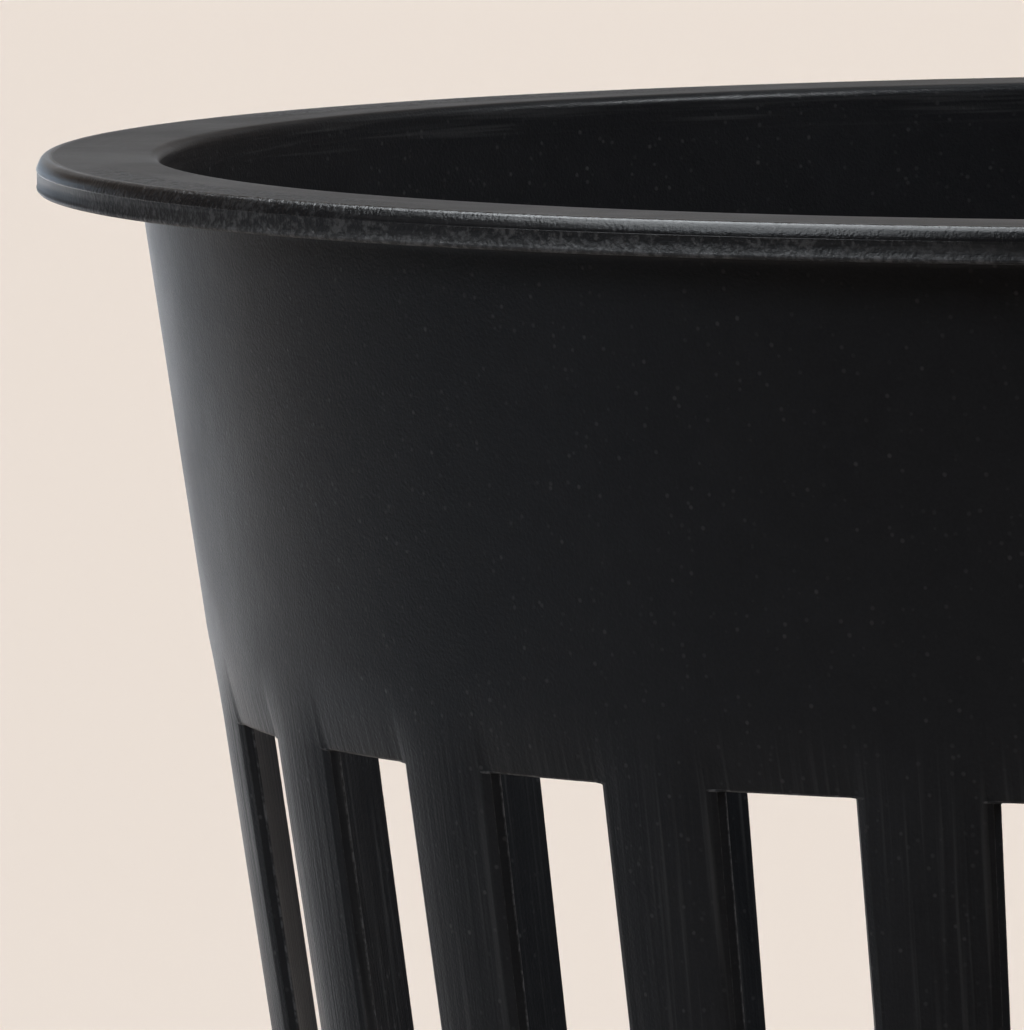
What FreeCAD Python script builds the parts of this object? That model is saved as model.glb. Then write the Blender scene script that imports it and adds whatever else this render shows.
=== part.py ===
import FreeCAD, Part
import math
import os
from FreeCAD import Vector

# Net pot for hydroponics, moulded in one piece: a flat rim that hangs in a tray hole, a plain
# band below it, a slotted cone wall and a drained floor. Millimetres, +Z up, with the origin in
# the middle of the base and the middle of one rib on +X.

# Overall
pot_height = 75.0
rim_diameter = 89.0
base_diameter = 60.6

# Rim
rim_overhang = 3.35
rim_thickness = 1.2
rim_root_bevel = 0.4
rim_edge_bevel = 0.2
lip_radius = 0.4

# Wall: thickness at the rim, and along the slots
wall_at_rim = 0.8
wall_at_slots = 0.65

# Slots and the ribs between them. The flares are on each side, from the inside of the wall out
slot_count = 24
band_height = 18.95
foot_band_height = 5.0
rib_foot_width = 3.15
slot_flare = 0.4
slot_top_flare = 0.1
slot_corner_radius = 0.25

# Shallow pocket in the band over each slot
pocket_height = 3.0
pocket_depth = 0.32

# Floor and foot
floor_thickness = 1.2
floor_lift = 1.0
floor_corner_bevel = 0.6
foot_width = 1.4

# Drain slots in the floor
hub_diameter = 20.0
drain_web = 2.2
drain_margin = 3.5

# How far a cutter runs past the surface that it cuts
clearance = 1.0

rim_radius = rim_diameter / 2
base_radius = base_diameter / 2
wall_slope = (rim_radius - rim_overhang - base_radius) / pot_height
wall_tilt = math.atan(wall_slope)
slot_top = pot_height - band_height
floor_top = floor_lift + floor_thickness
slot_bottom = floor_top + foot_band_height
slot_pitch = 360.0 / slot_count


def outer_radius(z):
    return base_radius + wall_slope * z


def inner_radius(z):
    along_band = max(0.0, (z - slot_top) / band_height)
    thickness = wall_at_slots + (wall_at_rim - wall_at_slots) * along_band
    return outer_radius(z) - thickness / math.cos(wall_tilt)


def corner_arc(before, corner, after, radius):
    # Start, middle and end of the arc that rounds one corner of an outline
    to_before = (before - corner).normalize()
    to_after = (after - corner).normalize()
    half_angle = to_before.getAngle(to_after) / 2
    reach = radius / math.tan(half_angle)
    centre = corner + (to_before + to_after).normalize() * (radius / math.sin(half_angle))
    middle = centre + (corner - centre).normalize() * radius
    return corner + to_before * reach, middle, corner + to_after * reach


def rounded_wire(corners):
    # Closed wire through (point, radius) pairs, with an arc at each radius that isn't zero
    edges = []
    first = None
    last = None
    for index, (corner, radius) in enumerate(corners):
        start = corner
        end = corner
        arc = None
        if radius > 0:
            before = corners[index - 1][0]
            after = corners[(index + 1) % len(corners)][0]
            start, middle, end = corner_arc(before, corner, after, radius)
            arc = Part.Arc(start, middle, end).toShape()
        if last is None:
            first = start
        else:
            edges.append(Part.LineSegment(last, start).toShape())
        if arc is not None:
            edges.append(arc)
        last = end
    edges.append(Part.LineSegment(last, first).toShape())
    return Part.Wire(edges)


def pot_blank():
    # The whole section turned about the axis, before any slot is cut
    rim_under = pot_height - rim_thickness
    root_foot = rim_under - rim_root_bevel
    corner_top = floor_top + floor_corner_bevel
    foot_radius = base_radius - foot_width
    section = [
        (0, floor_lift, 0),
        (foot_radius, floor_lift, 0),
        (foot_radius, 0, 0),
        (base_radius, 0, 0),
        (outer_radius(root_foot), root_foot, 0),
        (outer_radius(rim_under) + rim_root_bevel, rim_under, 0),
        (rim_radius - rim_edge_bevel, rim_under, 0),
        (rim_radius, rim_under + rim_edge_bevel, 0),
        (rim_radius, pot_height - rim_edge_bevel, 0),
        (rim_radius - rim_edge_bevel, pot_height, 0),
        (inner_radius(pot_height), pot_height, lip_radius),
        (inner_radius(slot_top), slot_top, 0),
        (inner_radius(corner_top), corner_top, 0),
        (inner_radius(floor_top) - floor_corner_bevel, floor_top, 0),
        (0, floor_top, 0),
    ]
    outline = rounded_wire([(Vector(x, 0, z), radius) for x, z, radius in section])
    return Part.Face(outline).revolve(Vector(), Vector(0, 0, 1), 360)


def slot_width():
    # Slots have parallel sides, so their width is what the narrow foot of the ribs leaves
    foot_pitch = 2 * inner_radius(slot_bottom) * math.sin(math.radians(slot_pitch / 2))
    return foot_pitch - rib_foot_width


def through_cutter():
    # Tapered block through the wall. X points along the rim, Y out of the wall and Z up it, with
    # the origin on the wall's outside at the top of the slot. Every side flares on the way out
    inside = -wall_at_slots - clearance
    outside = clearance
    narrow = slot_width() / 2 - slot_flare * clearance / wall_at_slots
    wide = slot_width() / 2 + slot_flare * (1 + clearance / wall_at_slots)
    low_end = slot_top_flare * (1 + clearance / wall_at_slots)
    high_end = slot_top_flare * clearance / wall_at_slots
    foot = -(slot_top - slot_bottom) / math.cos(wall_tilt)
    block = Part.makeWedge(
        -narrow, inside, foot + low_end, foot - high_end, -wide,
        narrow, outside, -low_end, high_end, wide,
    )
    across = [edge for edge in block.Edges if edge.BoundBox.YLength > clearance]
    top_corners = [edge for edge in across if edge.BoundBox.ZMax > foot / 2]
    return block.makeFillet(slot_corner_radius, top_corners)


def pocket_cutter():
    # Wedge that sinks the band by the pocket's depth at the slot and runs out above it
    half_width = slot_width() / 2 + slot_flare
    rise = clearance * pocket_height / pocket_depth
    side = [
        Vector(-half_width, -2 * pocket_depth, -pocket_height),
        Vector(-half_width, clearance, pocket_height + rise),
        Vector(-half_width, clearance, -pocket_height),
    ]
    face = Part.Face(Part.makePolygon(side + side[:1]))
    return face.extrude(Vector(2 * half_width, 0, 0))


def slot_cutter():
    cutter = through_cutter().fuse(pocket_cutter())
    cutter.rotate(Vector(), Vector(1, 0, 0), -math.degrees(wall_tilt))
    cutter.rotate(Vector(), Vector(0, 0, 1), -90)
    cutter.translate(Vector(outer_radius(slot_top), 0, slot_top))
    return cutter


def drain_cutter():
    # Round-ended slot along a radius of the floor
    hub_radius = hub_diameter / 2
    drain_count = slot_count // 2
    width = 2 * math.pi * hub_radius / drain_count - drain_web
    start = hub_radius + width / 2
    end = inner_radius(floor_top) - drain_margin - width / 2
    depth = floor_thickness + 2 * clearance
    bottom = Vector(0, 0, floor_lift - clearance)
    slot = Part.makeBox(end - start, width, depth, bottom + Vector(start, -width / 2, 0))
    for centre in (start, end):
        slot = slot.fuse(Part.makeCylinder(width / 2, depth, bottom + Vector(centre, 0, 0)))
    return slot


def around(shape, count, first_angle):
    copies = []
    for index in range(count):
        copy = shape.copy()
        copy.rotate(Vector(), Vector(0, 0, 1), first_angle + 360.0 * index / count)
        copies.append(copy)
    return copies


def net_pot():
    pot = pot_blank()
    pot = pot.cut(around(slot_cutter(), slot_count, slot_pitch / 2))
    pot = pot.cut(around(drain_cutter(), slot_count // 2, 0))
    return pot.removeSplitter()


pot = net_pot()
print("net_pot solids", len(pot.Solids), "valid", pot.isValid(), "volume", round(pot.Volume, 1))
print("slot width", round(slot_width(), 3), "box", pot.BoundBox)
os.makedirs("parts", exist_ok=True)
pot.exportStep("parts/net_pot.step")
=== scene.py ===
import math
import bmesh
import bpy
from mathutils import Matrix, Vector


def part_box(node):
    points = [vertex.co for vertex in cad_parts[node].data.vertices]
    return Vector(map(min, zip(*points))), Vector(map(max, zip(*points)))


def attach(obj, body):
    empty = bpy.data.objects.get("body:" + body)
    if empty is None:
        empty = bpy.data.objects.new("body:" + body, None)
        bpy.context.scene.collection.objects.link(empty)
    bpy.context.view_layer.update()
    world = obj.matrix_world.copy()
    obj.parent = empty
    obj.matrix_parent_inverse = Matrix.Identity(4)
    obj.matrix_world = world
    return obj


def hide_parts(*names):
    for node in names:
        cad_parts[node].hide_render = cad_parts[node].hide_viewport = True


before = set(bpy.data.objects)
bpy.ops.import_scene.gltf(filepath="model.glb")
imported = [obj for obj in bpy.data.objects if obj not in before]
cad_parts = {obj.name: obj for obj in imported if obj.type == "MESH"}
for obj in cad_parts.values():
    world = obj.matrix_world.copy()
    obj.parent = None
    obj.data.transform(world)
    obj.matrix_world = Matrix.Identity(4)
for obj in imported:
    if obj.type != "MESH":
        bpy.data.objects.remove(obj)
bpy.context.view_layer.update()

potLow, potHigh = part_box("net_pot")
mm = 0.001  # every size below is in millimetres, every mesh in metres

scene = bpy.context.scene
scene.view_settings.view_transform = "Standard"
scene.view_settings.look = "None"

print("stage 1: sizes")

potSizes = {
    "rimOverhang": 3.35,  # rim beyond the wall
    "rimThickness": 1.2,
    "rimRootRadius": 0.5,
    "rimEdgeRadius": 0.3,
    "rimRollTurn": 24.0,  # degrees the rolled edge leans in below its rounding
    "rimUnderRadius": 0.15,
    "rimSeamDrop": 0.47,  # mould seam round the rim's edge, below its top
    "rimSeamDepth": 0.03,  # how far the face under the seam is set back
    "rimSeamInset": 0.012,
    "rimSeamRise": (0.02, 0.03),  # the seam's step starts this far below it and ends this far above
    "rimFlashInset": 0.008,  # the flash line round the lower edge, from the rim's full radius
    "rimTopWear": ((0.6, 0.8), (1.1, 1.0), (1.9, 0.9), (2.6, 0.0)),  # (in from the edge, how worn)
    "lipRadius": 0.4,
    "lipFlat": 0.6,  # last row of the rim's top, before the lip
    "baseDiameter": 60.6,
    "wallAtRim": 0.8,
    "wallAtSlots": 0.65,
    "slotCount": 24,
    "bandHeight": 18.95,
    "footBandHeight": 5.0,
    "ribFootWidth": 3.15,
    "ribCrown": 0.17,  # how far a rib's face falls away to its edges
    "slotFlare": 0.4,
    "slotTopFlare": 0.1,
    "slotCornerRadius": 0.06,
    "shoulderRadius": 0.35,
    "shoulderTurn": 26.5,  # degrees, of the flat beside the sharper edge of the slot
    "shoulderFlat": 0.24,
    "slotEdgeRadius": 0.1,  # rounding of the ribs' outer edges
    "slotTopRadius": 0.12,
    "slotInnerRadius": 0.07,
    "innerEdgeShare": 0.2,  # share of the slot's flank, next to its inner edge, that is painted pale: scuffing, and a painted highlight line along that edge
    "pocketHeight": 3.0,  # run-out of the shallow pocket over each slot
    "pocketFall": 1.7,  # over 1 makes the run-out steeper at the slot
    "pocketDepth": 0.26,
    "pocketSide": 0.4,
    "floorThickness": 1.2,
    "floorLift": 1.0,
    "floorCorner": 0.6,
    "footWidth": 1.4,
    "footEdgeRadius": 0.25,
    "hubDiameter": 20.0,
    "drainWeb": 2.2,
    "drainMargin": 3.5,
    "drainEdgeRadius": 0.15,
}

meshSteps = {
    "flatColumns": 8,  # from a slot's middle to its corner
    "cornerColumns": 3,
    "ribColumns": 6,  # from a slot's edge to the middle of the rib
    "flatCrowding": 1.8,  # over 1 draws the columns towards the slot's corner
    "ribCrowding": 1.5,  # over 1 draws them towards the rib's edge
    "pocketRows": 18,
    "pocketReach": 1.15,  # the fine rows cover this many pocket heights
    "bandShares": (0.08, 0.18, 0.3, 0.45, 0.7, 1.0),  # rows of the band above them
    "evenShare": 0.45,  # from this share of the band on, the columns are evenly spread
    "insideShares": (0.15, 0.4, 0.7),  # rows inside the band, from the slots up
    "insideFootShares": (0.5, 1.0),
    "ribRows": 6,
    "footRows": 3,
    "edgeSteps": 3,  # faces across each small rounding
    "shoulderSteps": 3,  # across a rib's shoulder, and again across its edge
    "rootSteps": 5,
    "rollSteps": 6,
    "lipSteps": 6,
    "footSteps": 4,
    "drainEndSteps": 10,
    "weldDistance": 0.002,
}

rimRadius = (potHigh.x - potLow.x) / 2 / mm
potHeight = potHigh.z / mm
baseRadius = potSizes["baseDiameter"] / 2
wallSlope = (rimRadius - potSizes["rimOverhang"] - baseRadius) / potHeight
wallTilt = math.atan(wallSlope)
slotTop = potHeight - potSizes["bandHeight"]
floorTop = potSizes["floorLift"] + potSizes["floorThickness"]
slotBottom = floorTop + potSizes["footBandHeight"]
slotPitch = 2 * math.pi / potSizes["slotCount"]
slotCorner = potSizes["slotCornerRadius"]
rimUnder = potHeight - potSizes["rimThickness"]
rootRadius = potSizes["rimRootRadius"]
wallEnd = rimUnder - rootRadius - rootRadius * math.sin(wallTilt)  # where the rim's root starts
insideEnd = potHeight - potSizes["lipRadius"]
ringInside = baseRadius - potSizes["footWidth"]
edgeColumn = meshSteps["flatColumns"] + meshSteps["cornerColumns"]
lastColumn = edgeColumn + meshSteps["ribColumns"]
columns = range(-lastColumn, lastColumn + 1)
slotColumns = range(-edgeColumn, edgeColumn + 1)

# Vertex attributes that tell the material where the plastic is worn, rough or polished, and where
# pale lines are painted along the slots' edges as highlights
wearAndHighlightMarks = ("edgeLine", "rimEdge", "rimCorner", "rimTop")


def outerRadius(z):
    return baseRadius + wallSlope * z


def innerRadius(z):
    share = max(0.0, (z - slotTop) / potSizes["bandHeight"])
    thicker = (potSizes["wallAtRim"] - potSizes["wallAtSlots"]) * share
    return outerRadius(z) - (potSizes["wallAtSlots"] + thicker) / math.cos(wallTilt)


slotWidth = 2 * innerRadius(slotBottom) * math.sin(slotPitch / 2) - potSizes["ribFootWidth"]


def arcPoints(centre, radius, fromDegrees, toDegrees, steps):
    # (radius, height) points of one rounded corner of the section
    points = []
    for step in range(steps + 1):
        angle = math.radians(fromDegrees + (toDegrees - fromDegrees) * step / steps)
        points.append((centre[0] + radius * math.cos(angle), centre[1] + radius * math.sin(angle)))
    return points


def marked(points, marks=None):
    # Rows of a section: radius, height, and the wear marks that its vertices carry
    return [(radius, z, marks) for radius, z in points]


def cornerTurn(column):
    # Angle round the slot's corner, from the top of the arc (90 degrees) to its side (0)
    return math.pi / 2 * (edgeColumn - abs(column)) / meshSteps["cornerColumns"]


def ribShare(column):
    # Share of the way from a slot's edge (0) to the middle of the rib (1)
    share = max(0, abs(column) - edgeColumn) / meshSteps["ribColumns"]
    return share ** meshSteps["ribCrowding"]


def columnAngle(column, radius, halfWidth):
    # Where a column of the mesh stands, as an angle from the middle of its slot
    side = abs(column)
    flat = meshSteps["flatColumns"]
    if side <= flat:
        across = 1 - (1 - side / flat) ** meshSteps["flatCrowding"]
        angle = math.asin((halfWidth - slotCorner) * across / radius)
    elif side <= edgeColumn:
        reach = halfWidth - slotCorner + slotCorner * math.cos(cornerTurn(column))
        angle = math.asin(reach / radius)
    else:
        edge = math.asin(halfWidth / radius)
        angle = edge + (slotPitch / 2 - edge) * ribShare(column)
    return math.copysign(angle, column)


def evenAngle(column):
    return slotPitch / 2 * column / lastColumn


def outlineRise(column):
    # How far the slot's outline stands above the level where its side starts
    side = abs(column)
    if side <= meshSteps["flatColumns"]:
        return slotCorner
    if side <= edgeColumn:
        return slotCorner * math.sin(cornerTurn(column))
    return 0.0


def smooth(value):
    value = min(1.0, max(0.0, value))
    return value * value * (3 - 2 * value)


# A slot's flank leans by slotFlare, so the rib's edge turns by less than a right angle
thickness = potSizes["wallAtSlots"]
flankTurn = math.pi / 2 - math.atan(potSizes["slotFlare"] / thickness)
shoulderTurn = math.radians(potSizes["shoulderTurn"])
edgeOut = potSizes["slotFlare"] * (1 - potSizes["ribCrown"] / thickness)
topOut = potSizes["slotTopFlare"] * (1 - potSizes["pocketDepth"] / thickness)


def edgeSection():
    # (offset, depth) across the rib's edge: a wide shoulder, a flat, then the edge itself
    steps = meshSteps["shoulderSteps"]
    wide = potSizes["shoulderRadius"]
    narrow = potSizes["slotEdgeRadius"]
    points = []
    for step in range(steps + 1):
        turn = shoulderTurn * step / steps
        points.append((wide * math.sin(turn), wide * (1 - math.cos(turn))))
    offset = points[-1][0] + potSizes["shoulderFlat"] * math.cos(shoulderTurn)
    depth = points[-1][1] + potSizes["shoulderFlat"] * math.sin(shoulderTurn)
    for step in range(steps + 1):
        turn = shoulderTurn + (flankTurn - shoulderTurn) * step / steps
        further = narrow * (math.sin(turn) - math.sin(shoulderTurn))
        deeper = narrow * (math.cos(shoulderTurn) - math.cos(turn))
        points.append((offset + further, depth + deeper))
    return points


edgePoints = edgeSection()
outerSteps = len(edgePoints) - 1
edgeStart = edgePoints[-1][0] - edgePoints[-1][1] / math.tan(flankTurn)
halfOuter = slotWidth / 2 + edgeOut + edgeStart
# How pale a slot's rings are painted, counted from the end of its outer edge; the pale lines are
# partly scuffing and partly painted highlights along the edges
ringScuffsAndHighlights = {-1: 0.4, 2: 1.0, 3: 1.0}


def surfaceSink(column, z):
    # How far the wall's face lies below the plain cone: ribs are faintly crowned, the panel over
    # each slot is a shallow pocket, and both run out above and below the slots
    height = potSizes["pocketHeight"]
    crown = potSizes["ribCrown"]
    runOut = min(1.0, max(0.0, 1 - (z - slotTop) / height)) ** potSizes["pocketFall"]
    runOut *= smooth((z - slotBottom) / height + 1)
    if abs(column) >= edgeColumn:
        return crown * runOut * (1 - ribShare(column)) ** 2
    inside = 0.0
    if z > (slotTop + slotBottom) / 2:  # the lower ends have no pocket
        radius = outerRadius(z)
        across = radius * math.sin(columnAngle(column, radius, halfOuter))
        inside = smooth((halfOuter - abs(across)) / potSizes["pocketSide"])
    return runOut * (crown + (potSizes["pocketDepth"] - crown) * inside)


def flankLevels():
    # Rings from the outside of the wall to its inside. Each is (sideways offset, upward offset,
    # depth at the sides, depth at the ends, outside), and where outside is False, the depths are
    # counted from the inside of the wall
    levels = []
    endRadius = potSizes["slotTopRadius"]
    for step, (offset, depth) in enumerate(edgePoints):
        turn = math.pi / 2 * step / outerSteps
        upward = topOut + endRadius * (1 - math.sin(turn))
        endDepth = endRadius * (1 - math.cos(turn))
        levels.append((edgeOut + edgeStart - offset, upward, depth, endDepth, True))
    small = potSizes["slotInnerRadius"]
    near = potSizes["innerEdgeShare"]
    wallLeft = thickness - potSizes["ribCrown"] - edgePoints[-1][1] - small
    endLeft = thickness - potSizes["pocketDepth"] - endRadius - small
    sideDepth = small + near * wallLeft
    levels.append((near * levels[-1][0], near * topOut, sideDepth, small + near * endLeft, False))
    for step in range(meshSteps["edgeSteps"], -1, -1):
        turn = math.pi / 2 * step / meshSteps["edgeSteps"]
        offset = small * (1 - math.sin(turn))
        depth = small * (1 - math.cos(turn))
        levels.append((offset, offset, depth, depth, False))
    return levels


def rimProfile():
    # Section of the rim: root, underside, outer edge with its seam, worn top, lip
    worn = {"rimEdge": 1.0}
    # The flash line is painted pale through edgeLine, partly as scuffing and partly as a painted
    # highlight
    scuffedHighlightLine = {"rimEdge": 1.0, "edgeLine": 0.7}
    rolled = {"rimEdge": 0.1, "rimCorner": 1.0, "rimTop": 0.4}
    under = potSizes["rimUnderRadius"]
    below, above = potSizes["rimSeamRise"]
    seamZ = potHeight - potSizes["rimSeamDrop"]
    seamRadius = rimRadius - potSizes["rimSeamDepth"]

    rootCentre = (outerRadius(wallEnd) + rootRadius * math.cos(wallTilt), rimUnder - rootRadius)
    startTurn = 180.0 + math.degrees(wallTilt)
    root = arcPoints(rootCentre, rootRadius, startTurn, 90.0, meshSteps["rootSteps"])
    rows = marked(root[1:] + [(rimRadius - under * 3, rimUnder)])
    flashCentre = (rimRadius - potSizes["rimFlashInset"] - under, rimUnder + under)
    rows += marked(arcPoints(flashCentre, under, -90, 0, meshSteps["edgeSteps"]), scuffedHighlightLine)
    rows += marked([(seamRadius, rimUnder + under + above), (seamRadius, seamZ - below)], worn)

    # From the seam's step the face leans in, straight, up to the edge's rounding
    edge = potSizes["rimEdgeRadius"]
    lean = math.radians(potSizes["rimRollTurn"])
    straight = potSizes["rimSeamDrop"] - above - edge * (1 - math.sin(lean))
    edgeCentre = rimRadius - edge * math.cos(lean) - straight * math.tan(lean)
    roll = [(rimRadius - potSizes["rimSeamInset"], seamZ), (rimRadius, seamZ + above)]
    roll += arcPoints(
        (edgeCentre, potHeight - edge), edge, potSizes["rimRollTurn"], 90, meshSteps["rollSteps"]
    )
    rows += marked(roll, rolled)
    for inward, share in potSizes["rimTopWear"]:
        rows.append((rimRadius - inward, potHeight, {"rimTop": share}))

    lip = potSizes["lipRadius"]
    lipCentre = innerRadius(insideEnd) + lip
    rows.append((lipCentre + potSizes["lipFlat"], potHeight, None))
    return rows + marked(arcPoints((lipCentre, insideEnd), lip, 90, 180, meshSteps["lipSteps"]))


def footProfile():
    # Section of the foot: the wall's lower edge, the ring that it stands on, up to the floor
    edge = potSizes["footEdgeRadius"]
    small = potSizes["drainEdgeRadius"]
    points = arcPoints((outerRadius(edge) - edge, edge), edge, 0, -90, meshSteps["footSteps"])[1:]
    points += arcPoints((ringInside + small, small), small, -90, -180, meshSteps["edgeSteps"])
    points.append((ringInside, potSizes["floorLift"]))
    return marked(points)


def buildWallSector():
    # One slot with half a rib on each side, from the foot to the lip, as one open-sided strip
    mesh = bmesh.new()
    layers = {name: mesh.verts.layers.float.new(name) for name in wearAndHighlightMarks}
    known = {}

    def vertex(key, radius, angle, z, marks=None):
        # The same key always gives the same vertex, so patches share their borders
        if key not in known:
            at = Vector((radius * math.cos(angle), radius * math.sin(angle), z)) * mm
            known[key] = mesh.verts.new(at)
            for name, value in (marks or {}).items():
                known[key][layers[name]] = value
        return known[key]

    def onWall(key, column, zSurface, depth, halfWidth, edge=0.0, even=0.0):
        # A point at this depth below the wall's face, measured square to it
        radius = outerRadius(zSurface) - depth * math.cos(wallTilt)
        z = zSurface + depth * math.sin(wallTilt)
        angle = columnAngle(column, radius, halfWidth)
        angle += (evenAngle(column) - angle) * even
        return vertex(key, radius, angle, z, {"edgeLine": edge})

    def patch(rows):
        for low, high in zip(rows, rows[1:]):
            for index in range(len(low) - 1):
                mesh.faces.new([low[index], low[index + 1], high[index + 1], high[index]])

    innerTop = slotTop - potSizes["slotTopFlare"]
    innerBottom = slotBottom + potSizes["slotTopFlare"]
    lastRow = meshSteps["ribRows"]
    levels = flankLevels()
    lastLevel = len(levels) - 1

    def sideHeight(level, row):
        high = innerTop + levels[level][1] - slotCorner
        low = innerBottom - levels[level][1] + slotCorner
        return high + (low - high) * row / lastRow

    def ringVertex(level, place, column):
        # place is "top", "bottom" or the number of a row along the slot's side
        sideways, upward, sideDepth, endDepth, outside = levels[level]
        rise = outlineRise(column)
        row = {"top": 0, "bottom": lastRow}.get(place, place)
        z = sideHeight(level, row) + {"top": rise, "bottom": -rise}.get(place, 0.0)
        depth = sideDepth
        if abs(column) == edgeColumn:
            place = row  # the slot's ends and sides share these vertices
        else:
            depth += (endDepth - sideDepth) * (rise / slotCorner) ** 2
        if outside:
            depth += surfaceSink(column, z)
        else:
            depth = thickness - depth
        scuffAndHighlight = ringScuffsAndHighlights.get(level - outerSteps, 0.0)
        # Along the slot's top, the outer edge's rounding is painted pale all over as a painted
        # highlight line
        if place == "top" and 1 < level < outerSteps:
            scuffAndHighlight = 1.0
        key = ("ring", level, place, column)
        return onWall(key, column, z, depth, slotWidth / 2 + sideways, scuffAndHighlight)

    loops = []
    for level in range(lastLevel + 1):
        loop = [ringVertex(level, "top", column) for column in slotColumns]
        loop += [ringVertex(level, row, edgeColumn) for row in range(1, lastRow)]
        loop += [ringVertex(level, "bottom", column) for column in reversed(slotColumns)]
        loop += [ringVertex(level, row, -edgeColumn) for row in range(lastRow - 1, 0, -1)]
        loops.append(loop + loop[:1])
    patch(loops)

    def ribRow(level, row, side):
        half = slotWidth / 2 + levels[level][0]
        z = sideHeight(level, row)
        line = [ringVertex(level, row, side * edgeColumn)]
        for column in range(edgeColumn + 1, lastColumn + 1):
            depth = surfaceSink(column, z) if level == 0 else thickness
            key = ("rib", level, row, side * column)
            line.append(onWall(key, side * column, z, depth, half))
        return line

    for level in (0, lastLevel):
        for side in (-1, 1):
            patch([ribRow(level, row, side) for row in range(lastRow + 1)])

    def borderRow(level, place):
        row = 0 if place == "top" else lastRow
        left = list(reversed(ribRow(level, row, -1)))
        middle = [ringVertex(level, place, column) for column in slotColumns[1:-1]]
        return left + middle + ribRow(level, row, 1)

    def profileRows(name, profile, angles, start):
        rows = [start]
        for number, (radius, z, marks) in enumerate(profile):
            rows.append([
                vertex((name, number, column), radius, angle, z, marks)
                for column, angle in zip(columns, angles)
            ])
        patch(rows)
        return rows[-1]

    def insideRows(name, border, angles, endZ, shares):
        # Rows of the wall's inside, from the slots' border to the height endZ
        rows = []
        for number, share in enumerate(shares):
            line = []
            for at, angle, column in zip(border, angles, columns):
                start = at.co / mm
                z = start.z + (endZ - start.z) * share
                turn = math.atan2(start.y, start.x)
                turn += (angle - turn) * share
                line.append(vertex((name, number, column), innerRadius(z), turn, z))
            rows.append(line)
        return rows

    # Outside of the band: up from the slot, over the pocket, to the rim's root
    pocketEnd = slotTop + potSizes["pocketHeight"] * meshSteps["pocketReach"]
    pocketRows = meshSteps["pocketRows"]
    heights = [("pocket", step / pocketRows) for step in range(1, pocketRows + 1)]
    heights += [("band", share) for share in meshSteps["bandShares"]]
    bandRows = [borderRow(0, "top")]
    for number, (zone, share) in enumerate(heights):
        line = []
        for column in columns:
            start = sideHeight(0, 0) + outlineRise(column)
            z = start + (pocketEnd - start) * share
            even = 0.0
            if zone == "band":
                z = pocketEnd + (wallEnd - pocketEnd) * share
                even = smooth(share / meshSteps["evenShare"])
            sink = surfaceSink(column, z)
            line.append(onWall(("band", number, column), column, z, sink, halfOuter, 0.0, even))
        bandRows.append(line)
    patch(bandRows)

    # The rim, then the inside of the band down to the slot
    rimAngles = [evenAngle(column) for column in columns]
    lipRow = profileRows("rim", rimProfile(), rimAngles, bandRows[-1])
    insideTop = borderRow(lastLevel, "top")
    rows = insideRows("inside", insideTop, rimAngles, insideEnd, meshSteps["insideShares"])
    patch([lipRow] + rows[::-1] + [insideTop])

    # Outside of the foot band, then the foot ring
    footEnd = potSizes["footEdgeRadius"]
    footRows = meshSteps["footRows"]
    rows = [borderRow(0, "bottom")]
    for number in range(footRows):
        line = []
        for column in columns:
            start = sideHeight(0, lastRow) - outlineRise(column)
            z = start + (footEnd - start) * (number + 1) / footRows
            sink = surfaceSink(column, z) if number < footRows - 1 else 0.0
            line.append(onWall(("foot", number, column), column, z, sink, halfOuter))
        rows.append(line)
    patch(rows)
    footAngles = [columnAngle(column, outerRadius(footEnd), halfOuter) for column in columns]
    profileRows("footRing", footProfile(), footAngles, rows[-1])

    # Inside of the foot band, down into the floor's corner
    corner = potSizes["floorCorner"]
    cornerZ = floorTop + corner
    cornerRadius = innerRadius(cornerZ) - corner
    insideFoot = borderRow(lastLevel, "bottom")
    shares = meshSteps["insideFootShares"]
    rows = [insideFoot] + insideRows("insideFoot", insideFoot, footAngles, cornerZ, shares)
    patch(rows)
    points = arcPoints((cornerRadius, cornerZ), corner, 0, -90, meshSteps["footSteps"])[1:]
    profileRows("floorCorner", marked(points), footAngles, rows[-1])

    data = bpy.data.meshes.new("wallSector")
    mesh.to_mesh(data)
    mesh.free()
    floorEdges = {"top": (cornerRadius, floorTop), "under": (ringInside, potSizes["floorLift"])}
    return data, footAngles, floorEdges


def drainOutline(fromRadius, toRadius, halfWidth):
    # Round-ended outline along +X
    steps = meshSteps["drainEndSteps"]
    points = []
    for centre, first in ((toRadius, -90), (fromRadius, 90)):
        points += arcPoints((centre, 0.0), halfWidth, first, first + 180, steps)
    return points


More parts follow.
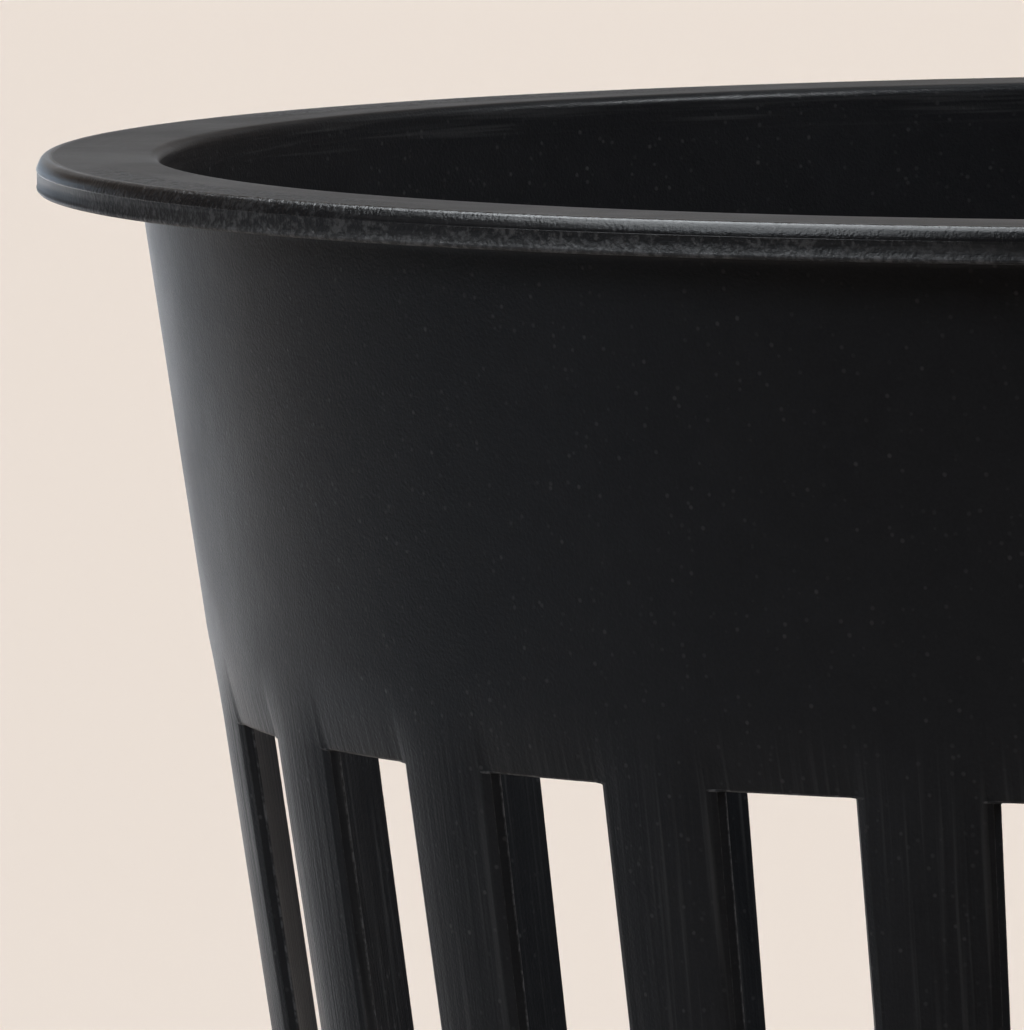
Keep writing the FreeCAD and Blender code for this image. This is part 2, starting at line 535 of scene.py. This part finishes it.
def buildFloorSector(footAngles, floorEdges):
    # Two slots' worth of floor, with one drain slot in the middle
    mesh = bmesh.new()
    for name in wearAndHighlightMarks:
        mesh.verts.layers.float.new(name)
    hub = potSizes["hubDiameter"] / 2
    drainPitch = 2 * slotPitch * hub
    halfWidth = (drainPitch - potSizes["drainWeb"]) / 2
    start = hub + halfWidth
    end = innerRadius(floorTop) - potSizes["drainMargin"] - halfWidth
    small = potSizes["drainEdgeRadius"]
    steps = meshSteps["edgeSteps"]

    # Rings down through the drain: how far each stands out from its sides, and its height
    rounding = []
    for step in range(steps + 1):
        turn = math.pi / 2 * step / steps
        rounding.append((small * (1 - math.sin(turn)), small * (1 - math.cos(turn))))
    rings = [(grow, floorTop - drop) for grow, drop in rounding]
    rings += [(grow, potSizes["floorLift"] + drop) for grow, drop in reversed(rounding)]

    def ring(points, z):
        return [mesh.verts.new(Vector((x, y, z)) * mm) for x, y in points]

    loops = [ring(drainOutline(start, end, halfWidth + grow), z) for grow, z in rings]
    for upper, lower in zip(loops, loops[1:]):
        for index in range(len(upper)):
            after = (index + 1) % len(upper)
            mesh.faces.new([upper[index], upper[after], lower[after], lower[index]])

    # The flat faces above and below, from the pot's axis to the wall
    angles = [angle - slotPitch / 2 for angle in footAngles]
    angles += [angle + slotPitch / 2 for angle in footAngles[1:]]
    for loop, face in ((loops[0], "top"), (loops[-1], "under")):
        radius, z = floorEdges[face]
        rim = [(radius * math.cos(angle), radius * math.sin(angle)) for angle in angles]
        edges = []
        for line in (ring([(0.0, 0.0)] + rim, z), loop):
            for index in range(len(line)):
                pair = (line[index], line[(index + 1) % len(line)])
                edges.append(mesh.edges.get(pair) or mesh.edges.new(pair))
        bmesh.ops.triangle_fill(mesh, use_beauty=True, use_dissolve=False, edges=edges)
    data = bpy.data.meshes.new("floorSector")
    mesh.to_mesh(data)
    mesh.free()
    return data


def makeNode(tree, kind, **settings):
    node = tree.nodes.new(kind)
    for name, value in settings.items():
        setattr(node, name, value)
    return node


def feed(tree, socket, value):
    # A socket takes either another node's output or a plain value
    if isinstance(value, bpy.types.NodeSocket):
        tree.links.new(value, socket)
    else:
        socket.default_value = value


def calc(tree, operation, *values):
    node = makeNode(tree, "ShaderNodeMath", operation=operation)
    for socket, value in zip(node.inputs, values):
        feed(tree, socket, value)
    return node.outputs[0]


def times(tree, first, *others):
    for other in others:
        first = calc(tree, "MULTIPLY", first, other)
    return first


def turnedCopiesTree():
    # Geometry Nodes: the sector it is given, turned round the pot's axis and welded
    tree = bpy.data.node_groups.new("turnedCopies", "GeometryNodeTree")
    inputs = (
        ("Geometry", "Geometry"), ("Copies", "Int"), ("First Angle", "Float"),
        ("Weld Distance", "Float"), ("Material", "Material"),
    )
    sockets = {}
    for name, kind in inputs:
        socket = tree.interface.new_socket(name=name, in_out="INPUT", socket_type="NodeSocket" + kind)
        sockets[name] = socket.identifier
    tree.interface.new_socket(name="Geometry", in_out="OUTPUT", socket_type="NodeSocketGeometry")
    given = makeNode(tree, "NodeGroupInput").outputs
    result = makeNode(tree, "NodeGroupOutput").inputs

    # One point on the axis for each copy, numbered, and so turned, one after the other
    points = makeNode(tree, "GeometryNodeMeshLine", mode="OFFSET")
    points.inputs["Offset"].default_value = (0, 0, 0)
    feed(tree, points.inputs["Count"], given["Copies"])
    number = makeNode(tree, "GeometryNodeInputIndex").outputs[0]
    step = calc(tree, "DIVIDE", 2 * math.pi, given["Copies"])
    spin = makeNode(tree, "ShaderNodeCombineXYZ")
    feed(tree, spin.inputs["Z"], calc(tree, "MULTIPLY_ADD", number, step, given["First Angle"]))
    copies = makeNode(tree, "GeometryNodeInstanceOnPoints")
    feed(tree, copies.inputs["Points"], points.outputs["Mesh"])
    feed(tree, copies.inputs["Instance"], given["Geometry"])
    feed(tree, copies.inputs["Rotation"], spin.outputs[0])

    geometry = copies.outputs["Instances"]
    for kind, inputName, value in (
        ("GeometryNodeRealizeInstances", None, None),
        ("GeometryNodeMergeByDistance", "Distance", given["Weld Distance"]),
        ("GeometryNodeSetShadeSmooth", None, None),
        ("GeometryNodeSetMaterial", "Material", given["Material"]),
    ):
        node = makeNode(tree, kind)
        feed(tree, node.inputs["Geometry"], geometry)
        if inputName:
            feed(tree, node.inputs[inputName], value)
        geometry = node.outputs["Geometry"]
    feed(tree, result["Geometry"], geometry)
    return tree, sockets


def repeated(data, tree, sockets, copies, firstAngle, material):
    holder = bpy.data.objects.new(data.name + "Source", data)
    scene.collection.objects.link(holder)
    modifier = holder.modifiers.new("turnedCopies", "NODES")
    modifier.node_group = tree
    modifier[sockets["Copies"]] = copies
    modifier[sockets["First Angle"]] = firstAngle
    modifier[sockets["Weld Distance"]] = meshSteps["weldDistance"] * mm
    modifier[sockets["Material"]] = material
    bpy.context.view_layer.update()
    graph = bpy.context.evaluated_depsgraph_get()
    result = bpy.data.meshes.new_from_object(holder.evaluated_get(graph))
    holder.modifiers.remove(modifier)
    bpy.data.objects.remove(holder)
    return result


print("stage 2: materials")


def ramp(tree, value, fromMin, fromMax, toMin=0.0, toMax=1.0):
    node = makeNode(tree, "ShaderNodeMapRange", interpolation_type="SMOOTHSTEP")
    names = ("Value", "From Min", "From Max", "To Min", "To Max")
    for name, entry in zip(names, (value, fromMin, fromMax, toMin, toMax)):
        feed(tree, node.inputs[name], entry)
    return node.outputs[0]


def blendColour(tree, share, first, second):
    # Colours given as plain tuples sit on the Mix node's own sockets
    node = makeNode(tree, "ShaderNodeMix", data_type="RGBA")
    feed(tree, node.inputs[0], share)
    for socket, value in ((node.inputs[6], first), (node.inputs[7], second)):
        feed(tree, socket, (*value, 1) if isinstance(value, tuple) else value)
    return node.outputs[2]


def noise(tree, place, scale, detail=2.0, roughness=0.5):
    node = makeNode(tree, "ShaderNodeTexNoise")
    for name, value in (
        ("Vector", place), ("Scale", scale), ("Detail", detail), ("Roughness", roughness),
    ):
        feed(tree, node.inputs[name], value)
    return node.outputs[0]


def splitPlace(tree, place):
    node = makeNode(tree, "ShaderNodeSeparateXYZ")
    feed(tree, node.inputs[0], place)
    return node.outputs


def startGroup(name, inputs, outputs):
    group = bpy.data.node_groups.new(name, "ShaderNodeTree")
    sides = [("INPUT", socketName) for socketName in inputs]
    sides += [("OUTPUT", socketName) for socketName in outputs]
    for side, socketName in sides:
        socket = group.interface.new_socket(
            name=socketName, in_out=side, socket_type="NodeSocketFloat"
        )
        if side == "INPUT":
            socket.default_value = inputs[socketName]
    given = makeNode(group, "NodeGroupInput").outputs
    result = makeNode(group, "NodeGroupOutput").inputs
    place = makeNode(group, "ShaderNodeTexCoord").outputs["Object"]
    return group, given, result, place


grainSizes = {
    "Grain Size": 0.12,  # millimetres, as are the other sizes
    "Peel Size": 0.9,
    "Peel Share": 0.35,
    "Speck Size": 0.36,
    "Speck Amount": 0.5,
    "Cloud Size": 14.0,
}

lineSizes = {"Round Length": 9.0, "Radial Length": 0.2, "Height Length": 0.2}


def mouldedGrainGroup():
    # Moulded plastic: fine grain over coarse orange peel, cloudy tone, and pale specks in patches
    group, given, result, place = startGroup("mouldedGrain", grainSizes, ("Height", "Specks", "Tone"))

    def scaleOf(name):
        return calc(group, "DIVIDE", 1 / mm, given[name])

    grain = noise(group, place, scaleOf("Grain Size"), 3.0, 0.6)
    peel = noise(group, place, scaleOf("Peel Size"))
    mix = makeNode(group, "ShaderNodeMix", data_type="FLOAT")
    for index, value in ((0, given["Peel Share"]), (2, grain), (3, peel)):
        feed(group, mix.inputs[index], value)
    feed(group, result["Height"], mix.outputs[0])
    feed(group, result["Tone"], noise(group, place, scaleOf("Cloud Size"), 5.0, 0.6))

    # One speck in the middle of some of the cells, each of its own strength
    cells = makeNode(group, "ShaderNodeTexVoronoi", feature="F1")
    feed(group, cells.inputs["Vector"], place)
    feed(group, cells.inputs["Scale"], scaleOf("Speck Size"))
    tint = makeNode(group, "ShaderNodeSeparateColor")
    feed(group, tint.inputs[0], cells.outputs["Color"])
    near = ramp(group, cells.outputs["Distance"], 0.3, 0.1)
    patches = ramp(group, peel, 0.35, 0.6, 0.3, 1.0)
    chosen = calc(group, "LESS_THAN", tint.outputs[0], given["Speck Amount"])
    feed(group, result["Specks"], times(group, near, chosen, tint.outputs[1], patches))
    return group


def drawnLinesGroup():
    # Fine lines along one of the pot's own directions: round it, across its radius, or up it
    group, given, result, place = startGroup("drawnLines", lineSizes, ("Lines",))
    x, y, z = splitPlace(group, place)
    angle = calc(group, "ARCTAN2", x, times(group, y, -1.0))
    square = calc(group, "ADD", times(group, x, x), times(group, y, y))
    radius = calc(group, "DIVIDE", calc(group, "SQRT", square), mm)
    around = times(group, angle, rimRadius)
    upward = calc(group, "DIVIDE", z, mm)
    stretched = makeNode(group, "ShaderNodeCombineXYZ")
    for socket, length, name in zip(stretched.inputs, (around, radius, upward), lineSizes):
        feed(group, socket, calc(group, "DIVIDE", length, given[name]))
    feed(group, result["Lines"], noise(group, stretched.outputs[0], 1.0))
    return group


plasticLook = {
    "darkColour": (0.0075, 0.0083, 0.0100),
    "paleColour": (0.0135, 0.0145, 0.0168),
    "speckColour": (0.045, 0.046, 0.048),
    "edgeScuffAndHighlightColour": (0.12, 0.122, 0.127),  # scuffing on the ribs' edges, and painted highlight lines along the slots' edges and tops
    "rimColour": (0.060, 0.061, 0.064),  # pale mottling on the rim's edge
    "lineColour": (0.034, 0.035, 0.037),
    "roughness": 0.335,
    "roughnessSpread": 0.05,
    "rimRoughness": 0.12,  # added on the rim's edge
    "cornerPolish": 0.13,  # taken off at the rim's upper corner
    "topRoughness": 0.35,  # added in the worn patches of the rim's top
    "specular": 0.15,
    "grainHeight": 0.028,  # millimetres, as are all lengths below
    "rimGrainHeight": 0.08,
    "topGrainHeight": 0.12,
    "ribLineHeight": 0.03,
    "rimLineHeight": 0.012,
    "smoothEnd": (-41.4, -39.2),  # X over which the rim turns from smooth, at -X, to rough
    "edgeWear": (-2.0, -16.0),  # X over which the rim's edge comes to its full roughness
    "topWear": (-22.0, -32.0),  # X over which its top does
    "leastEdgeWear": 0.2,  # share of the edge's roughness that the +X side keeps
    "ribZone": (3.0, -1.0),  # from the slots' tops, where the lines on the ribs start
    "rimZone": (-1.5, -1.0),  # from the rim's top, where the lines round the rim start
}

# How each pattern becomes a mask: its lowest and highest level, and what they turn into
patternMasks = {
    "clouds": (0.2, 0.8, 0.35, 0.65),
    "grain": (0.3, 0.7, -0.3, 0.3),
    "ribLines": (0.5, 0.72, 0.0, 0.7),
    "rimLines": (0.5, 0.7, 0.0, 0.6),
    "mottling": (0.48, 0.62, 0.0, 1.0),
    "scuffsAndHighlights": (0.45, 0.6, 0.15, 0.8),
}

rimGrainSizes = {"Grain Size": 0.22, "Peel Size": 0.7}
ribLineSizes = {"Round Length": 0.28, "Radial Length": 3.0, "Height Length": 14.0}


def potPlasticMaterial(grainGroup, linesGroup):
    look = plasticLook
    material = bpy.data.materials.new("blackPlastic")
    material.use_nodes = True
    tree = material.node_tree
    shader = tree.nodes["Principled BSDF"].inputs
    shader["Specular IOR Level"].default_value = look["specular"]

    def place(group, values=None):
        node = makeNode(tree, "ShaderNodeGroup", node_tree=group)
        for name, value in (values or {}).items():
            node.inputs[name].default_value = value
        return node.outputs

    def attribute(name):
        return makeNode(tree, "ShaderNodeAttribute", attribute_name=name).outputs["Fac"]

    def mask(pattern, name):
        return ramp(tree, pattern, *patternMasks[name])

    def zone(length, name, level=0.0, toMin=0.0):
        # Fades in between the look's two lengths, counted from the level
        start, end = ((level + value) * mm for value in look[name])
        return ramp(tree, length, start, end, toMin)

    grain = place(grainGroup)
    rimGrain = place(grainGroup, rimGrainSizes)["Height"]
    ribLines = place(linesGroup, ribLineSizes)["Lines"]
    rimLines = place(linesGroup)["Lines"]
    at = splitPlace(tree, makeNode(tree, "ShaderNodeTexCoord").outputs["Object"])

    # The rim is cast rough all round its edge, save for a smooth stretch at -X, and its top is
    # worn next to that stretch
    rough = zone(at["X"], "smoothEnd")
    edgeWear = zone(at["X"], "edgeWear", toMin=look["leastEdgeWear"])
    rimEdge = times(tree, attribute("rimEdge"), rough, edgeWear)
    rimTop = times(tree, attribute("rimTop"), rough, zone(at["X"], "topWear"))
    ribZone = zone(at["Z"], "ribZone", slotTop)
    rimZone = zone(at["Z"], "rimZone", potHeight)

    # Clouds and grain add up to between 0.05 and 0.95, so that no patch is cut off flat
    shade = calc(tree, "ADD", mask(grain["Tone"], "clouds"), mask(grain["Height"], "grain"))
    streaks = times(tree, ribZone, mask(ribLines, "ribLines"))
    rimStreaks = times(tree, rimZone, mask(rimLines, "rimLines"))
    mottling = times(tree, calc(tree, "MAXIMUM", rimEdge, rimTop), mask(rimGrain, "mottling"))
    # Pale lines on the slots' edges and on the rim's flash: partly scuffing, partly painted
    # highlights
    scuffsAndHighlights = times(tree, attribute("edgeLine"), mask(rimGrain, "scuffsAndHighlights"))
    colour = look["darkColour"]
    for share, name in (
        (shade, "paleColour"),
        (streaks, "lineColour"),
        (rimStreaks, "lineColour"),
        (mottling, "rimColour"),
        (scuffsAndHighlights, "edgeScuffAndHighlightColour"),
        (grain["Specks"], "speckColour"),
    ):
        colour = blendColour(tree, share, colour, look[name])
    feed(tree, shader["Base Color"], colour)

    least = look["roughness"] - look["roughnessSpread"]
    most = look["roughness"] + look["roughnessSpread"]
    roughness = ramp(tree, grain["Tone"], 0.3, 0.7, least, most)
    for operation, share, name in (
        ("ADD", rimEdge, "rimRoughness"),
        ("SUBTRACT", attribute("rimCorner"), "cornerPolish"),
        ("ADD", times(tree, rimTop, mottling), "topRoughness"),
    ):
        roughness = calc(tree, operation, roughness, times(tree, share, look[name]))
    feed(tree, shader["Roughness"], roughness)

    relief = times(tree, grain["Height"], look["grainHeight"])
    for level, share, name in (
        (rimGrain, rimEdge, "rimGrainHeight"),
        (rimGrain, rimTop, "topGrainHeight"),
        (ribLines, ribZone, "ribLineHeight"),
        (rimLines, rimZone, "rimLineHeight"),
    ):
        relief = calc(tree, "ADD", relief, times(tree, level, share, look[name]))
    bump = makeNode(tree, "ShaderNodeBump")
    bump.inputs["Distance"].default_value = mm
    feed(tree, bump.inputs["Height"], relief)
    feed(tree, shader["Normal"], bump.outputs[0])
    return material


potPlastic = potPlasticMaterial(mouldedGrainGroup(), drawnLinesGroup())

print("stage 3: pot")

wallSector, footAngles, floorEdges = buildWallSector()
floorSector = buildFloorSector(footAngles, floorEdges)
copiesTree, copySockets = turnedCopiesTree()
joined = bmesh.new()
for sector, slotsEach, firstAngle in ((wallSector, 1, slotPitch / 2), (floorSector, 2, 0.0)):
    copies = potSizes["slotCount"] // slotsEach
    joined.from_mesh(repeated(sector, copiesTree, copySockets, copies, firstAngle, potPlastic))
bmesh.ops.remove_doubles(joined, verts=joined.verts, dist=meshSteps["weldDistance"] * mm)
bmesh.ops.recalc_face_normals(joined, faces=joined.faces)
openEdges = [edge for edge in joined.edges if not edge.is_manifold]
print("pot faces", len(joined.faces), "open edges", len(openEdges))
potMesh = bpy.data.meshes.new("netPot")
joined.to_mesh(potMesh)
joined.free()
potMesh.materials.clear()
potMesh.materials.append(potPlastic)
potMesh.shade_smooth()
pot = bpy.data.objects.new("netPot", potMesh)
scene.collection.objects.link(pot)
weighted = pot.modifiers.new("weightedNormals", "WEIGHTED_NORMAL")
weighted.keep_sharp = True

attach(pot, "root")
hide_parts("net_pot")

print("stage 4: floor and light")

stageLook = {
    "floorColour": (0.80, 0.710, 0.638),
    "floorRoughness": 0.9,
    "backdropDistance": 3.0,  # metres, as are all of the studio's sizes
    "backdropHeight": 3.0,
    "bend": 0.8,
    "bendSteps": 12,
    "sides": 96,
    "skyStrength": 0.2,
}


def studioFloor():
    # Floor that bends up into a backdrop on every side, so each view has the same ground
    mesh = bmesh.new()
    reach = stageLook["backdropDistance"]
    bend = stageLook["bend"]
    sides = stageLook["sides"]
    profile = [(reach, 0.0)]
    profile += arcPoints((reach, bend), bend, -90, 0, stageLook["bendSteps"])[1:]
    profile.append((reach + bend, stageLook["backdropHeight"]))
    turns = [2 * math.pi * side / sides for side in range(sides)]
    rings = []
    for radius, z in profile:
        rings.append([
            mesh.verts.new((radius * math.cos(turn), radius * math.sin(turn), z))
            for turn in turns
        ])
    mesh.faces.new(rings[0])
    for low, high in zip(rings, rings[1:]):
        for side in range(sides):
            after = (side + 1) % sides
            mesh.faces.new([low[after], low[side], high[side], high[after]])
    data = bpy.data.meshes.new("studioFloor")
    mesh.to_mesh(data)
    mesh.free()
    data.shade_smooth()
    floor = bpy.data.objects.new("studioFloor", data)
    scene.collection.objects.link(floor)
    material = bpy.data.materials.new("paleFloor")
    material.use_nodes = True
    shader = material.node_tree.nodes["Principled BSDF"].inputs
    shader["Base Color"].default_value = (*stageLook["floorColour"], 1)
    shader["Roughness"].default_value = stageLook["floorRoughness"]
    shader["Specular IOR Level"].default_value = 0.0
    data.materials.append(material)


def areaLight(name, plan):
    light = bpy.data.lights.new(name, "AREA")
    light.shape = "RECTANGLE"
    light.size, light.size_y = plan["size"]
    light.energy = plan["power"]
    light.color = plan["colour"]
    light.spread = math.radians(plan.get("spread", 180.0))
    lamp = bpy.data.objects.new(name, light)
    scene.collection.objects.link(lamp)
    lamp.visible_camera = False
    lamp.visible_diffuse = not plan.get("glossOnly", False)
    lamp.location = plan["place"]
    aim = Vector(plan["target"]) - Vector(plan["place"])
    facing = aim.to_track_quat("-Z", "Y").to_matrix()
    turn = Matrix.Rotation(math.radians(plan.get("turn", 0.0)), 3, "Z")
    lamp.rotation_euler = (facing @ turn).to_euler()


paleBlue = (0.93, 0.97, 1.0)

# Where a lamp is, what it points at, its size in metres and its power in watts. A lamp that is
# glossOnly shows in reflections alone
lightPlan = {
    "overhead": {
        "place": (-0.19, 1.06, 0.8), "target": (-0.19, 1.06, 0.0), "size": (0.58, 1.78),
        "turn": 8.0, "spread": 36.0, "power": 2.88, "colour": (0.97, 0.985, 1.0),
    },
    "behindLeft": {
        "place": (-0.16, 0.29, 0.048), "target": (-0.03, 0.0, 0.048), "size": (0.22, 0.08),
        "power": 0.031, "colour": (0.60, 0.79, 1.0),
    },
    "lowLeft": {
        "place": (-0.22, 0.06, 0.002), "target": (-0.22, 0.06, 1.0), "size": (0.14, 0.4),
        "power": 0.05, "colour": (0.45, 0.72, 1.0), "glossOnly": True,
    },
    "farBackdrop": {
        "place": (-0.3, 2.6, 0.36), "target": (0.0, 0.0, 0.07), "size": (1.6, 0.5),
        "power": 0.9, "colour": (0.90, 0.95, 1.0),
    },
    "insideFill": {
        "place": (0.85, 0.05, 1.05), "target": (0.0, 0.0, 0.06), "size": (0.15, 0.15),
        "spread": 12.0, "power": 0.075, "colour": paleBlue,
    },
    "frontFill": {
        "place": (-0.8, -0.7, 0.45), "target": (0.0, 0.0, 0.05), "size": (0.3, 0.3),
        "spread": 30.0, "power": 0.15, "colour": (0.88, 0.94, 1.0),
    },
    "rimGloss": {
        "place": (-0.46, 0.08, 1.0), "target": (-0.46, 0.08, 0.0), "size": (0.56, 1.4),
        "power": 31.0, "colour": paleBlue, "glossOnly": True,
    },
    "rimFrontGloss": {
        "place": (-1.05, -0.6, 1.0), "target": (-1.05, -0.6, 0.0), "size": (0.6, 1.2),
        "power": 26.0, "colour": paleBlue, "glossOnly": True,
    },
}

studioFloor()
for lightName, plan in lightPlan.items():
    areaLight(lightName, plan)

world = bpy.data.worlds.new("studio")
world.use_nodes = True
sky = world.node_tree.nodes["Background"].inputs
sky["Color"].default_value = (1.0, 1.0, 1.0, 1)
sky["Strength"].default_value = stageLook["skyStrength"]
scene.world = world

print("stage 5: camera")

cameraView = {
    "distance": 582.36,  # from the pot's axis
    "aboveRim": 34.49,  # above the top of the rim
    "turn": 5.726,  # degrees round the pot from -Y
    "yaw": -2.793,  # degrees away from the axis
    "pitch": -4.614,
    "roll": -0.406,
    "lens": 597.8,
    "sensorWidth": 36.0,
    "clip": (0.01, 50.0),  # metres
}


def mainCamera():
    camera = bpy.data.cameras.new("camera")
    camera.lens = cameraView["lens"]
    camera.sensor_width = cameraView["sensorWidth"]
    camera.sensor_fit = "AUTO"
    camera.clip_start, camera.clip_end = cameraView["clip"]
    seat = bpy.data.objects.new("camera", camera)
    scene.collection.objects.link(seat)
    yaw, pitch, roll = (math.radians(cameraView[key]) for key in ("yaw", "pitch", "roll"))
    level = Vector((math.sin(yaw), math.cos(yaw), 0))
    forward = level * math.cos(pitch) + Vector((0, 0, math.sin(pitch)))
    right = Vector((math.cos(yaw), -math.sin(yaw), 0))
    up = right.cross(forward)
    rolledRight = right * math.cos(roll) + up * math.sin(roll)
    rolledUp = up * math.cos(roll) - right * math.sin(roll)
    axes = Matrix((rolledRight, rolledUp, -forward)).transposed().to_4x4()
    place = Vector((0, -cameraView["distance"], potHeight + cameraView["aboveRim"])) * mm
    turn = Matrix.Rotation(math.radians(cameraView["turn"]), 4, "Z")
    seat.matrix_world = turn @ Matrix.Translation(place) @ axes
    scene.camera = seat


mainCamera()

bpy.context.view_layer.update()
